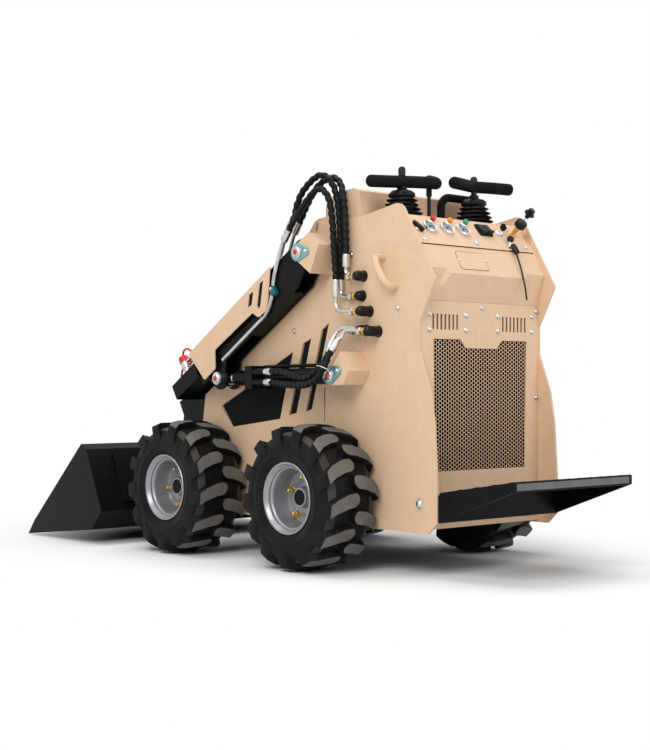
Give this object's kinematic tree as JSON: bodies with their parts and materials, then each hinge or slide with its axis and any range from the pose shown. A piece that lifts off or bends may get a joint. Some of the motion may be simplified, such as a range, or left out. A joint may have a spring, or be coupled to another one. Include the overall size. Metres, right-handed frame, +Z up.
{
  "type": "stand-on skid steer loader",
  "caption": "Compact wheeled stand-on skid steer loader with a lifting boom, tilting bucket, rear step for the operator and a lever console",
  "frame": {"origin": "On the ground, in the middle of the overall length from the rear step to the bucket's lip, and in the middle of the width", "axes": "+X runs to the front towards the bucket, +Y to the machine's left, +Z up"},
  "size_m": [2.368, 1.08, 1.322],
  "materials": {
    "body_paint": "satin sand enamel",
    "black_paint": "satin black enamel",
    "screen_paint": "matt black powder coat",
    "bright_steel": "polished hard chrome",
    "lamp_lens": "clear coloured lens",
    "control_plastic": "moulded black plastic",
    "soft_rubber": "matt black rubber",
    "grip_foam": "black foam sleeve",
    "zinc_steel": "zinc plated",
    "tyre_rubber": "black rubber, a little dusty",
    "rim_paint": "silver grey enamel"
  },
  "bodies": {
    "chassis": {"side_plate_left": "body_paint", "side_plate_right": "body_paint", "vent_screens": "screen_paint", "nose_cover": "body_paint", "belly_pan": "black_paint", "hood": "body_paint", "rear_panel": "body_paint", "rear_grille": "body_paint", "console": "body_paint", "dash_gauges": "bright_steel", "dash_lamps": "lamp_lens", "dash_switches": "control_plastic", "lever_boots": "soft_rubber", "control_levers": "grip_foam", "grab_bar": "grip_foam", "side_handles": "body_paint", "upper_bosses": "body_paint", "lower_bosses": "body_paint", "pivot_pins": "zinc_steel", "rear_step": "black_paint", "axle_hubs": "black_paint", "engine_block": "black_paint", "hydraulic_ports": "zinc_steel", "boom_hoses": "soft_rubber", "lift_hoses_left": "soft_rubber", "lift_hoses_right": "soft_rubber"},
    "wheel_rear_left": {"tyre_rear_left": "tyre_rubber", "rim_rear_left": "rim_paint"},
    "wheel_rear_right": {"tyre_rear_right": "tyre_rubber", "rim_rear_right": "rim_paint"},
    "wheel_front_left": {"tyre_front_left": "tyre_rubber", "rim_front_left": "rim_paint"},
    "wheel_front_right": {"tyre_front_right": "tyre_rubber", "rim_front_right": "rim_paint"},
    "boom": {"boom_arm_left": "black_paint", "boom_arm_right": "black_paint", "arm_covers": "body_paint", "cross_box": "black_paint", "boom_leg_left": "black_paint", "boom_leg_right": "black_paint", "leg_tube": "black_paint", "tilt_bracket": "black_paint", "boom_pins": "zinc_steel", "boom_pipes": "zinc_steel", "aux_couplers": "zinc_steel"},
    "lift_barrel_left": {"lift_barrel_left": "black_paint"},
    "lift_barrel_right": {"lift_barrel_right": "black_paint"},
    "lift_rod_left": {"lift_rod_left": "bright_steel"},
    "lift_rod_right": {"lift_rod_right": "bright_steel"},
    "bucket": {"bucket_shell": "black_paint", "cutting_edge": "black_paint", "bucket_hitch": "black_paint", "hitch_pins": "zinc_steel"},
    "tilt_barrel": {"tilt_barrel": "black_paint"},
    "tilt_rod": {"tilt_rod": "bright_steel"}
  },
  "joints": [
    {"name": "wheel_rear_left_turn", "type": "hinge", "parent": "chassis", "child": "wheel_rear_left", "pos_m": [-0.415, 0.412, 0.238], "axis": [0, 1, 0], "continuous": true},
    {"name": "wheel_rear_right_turn", "type": "hinge", "parent": "chassis", "child": "wheel_rear_right", "pos_m": [-0.415, -0.412, 0.238], "axis": [0, 1, 0], "continuous": true},
    {"name": "wheel_front_left_turn", "type": "hinge", "parent": "chassis", "child": "wheel_front_left", "pos_m": [0.27, 0.412, 0.238], "axis": [0, 1, 0], "continuous": true},
    {"name": "wheel_front_right_turn", "type": "hinge", "parent": "chassis", "child": "wheel_front_right", "pos_m": [0.27, -0.412, 0.238], "axis": [0, 1, 0], "continuous": true},
    {"name": "boom_lift", "type": "hinge", "parent": "chassis", "child": "boom", "pos_m": [-0.327, 0, 1.046], "axis": [0, -1, 0], "range_deg": [0, 60], "deforming": ["boom_hoses", "lift_hoses_left", "lift_hoses_right"]},
    {"name": "lift_barrel_left_swing", "type": "hinge", "parent": "chassis", "child": "lift_barrel_left", "pos_m": [-0.487, 0.336, 0.635], "axis": [0, -1, 0], "range_deg": [0, 40]},
    {"name": "lift_rod_left_slide", "type": "slide", "parent": "lift_barrel_left", "child": "lift_rod_left", "axis": [0.9999, 0, -0.0118], "range_m": [0, 0.364]},
    {"name": "lift_barrel_right_swing", "type": "hinge", "parent": "chassis", "child": "lift_barrel_right", "pos_m": [-0.487, -0.336, 0.635], "axis": [0, -1, 0], "range_deg": [0, 40]},
    {"name": "lift_rod_right_slide", "type": "slide", "parent": "lift_barrel_right", "child": "lift_rod_right", "axis": [0.9999, 0, -0.0118], "range_m": [0, 0.364]},
    {"name": "bucket_tilt", "type": "hinge", "parent": "boom", "child": "bucket", "pos_m": [0.545, 0, 0.19], "axis": [0, 1, 0], "range_deg": [-20, 90]},
    {"name": "tilt_barrel_swing", "type": "hinge", "parent": "boom", "child": "tilt_barrel", "pos_m": [0.43463, 0, 0.71908], "axis": [0, 1, 0], "range_deg": [-6.6, 1.6]},
    {"name": "tilt_rod_slide", "type": "slide", "parent": "tilt_barrel", "child": "tilt_rod", "axis": [0.3687, 0, -0.9295], "range_m": [-0.0465, 0.2075]}
  ],
  "couplings": [
    {"joint": "lift_barrel_left_swing", "follows": "boom_lift", "ratio": 0.6614},
    {"joint": "lift_rod_left_slide", "follows": "boom_lift", "m_per_rad": 0.3462},
    {"joint": "lift_barrel_right_swing", "follows": "boom_lift", "ratio": 0.6614},
    {"joint": "lift_rod_right_slide", "follows": "boom_lift", "m_per_rad": 0.3462},
    {"joint": "tilt_barrel_swing", "follows": "bucket_tilt", "ratio": -0.07175},
    {"joint": "tilt_rod_slide", "follows": "bucket_tilt", "m_per_rad": 0.13166}
  ]
}
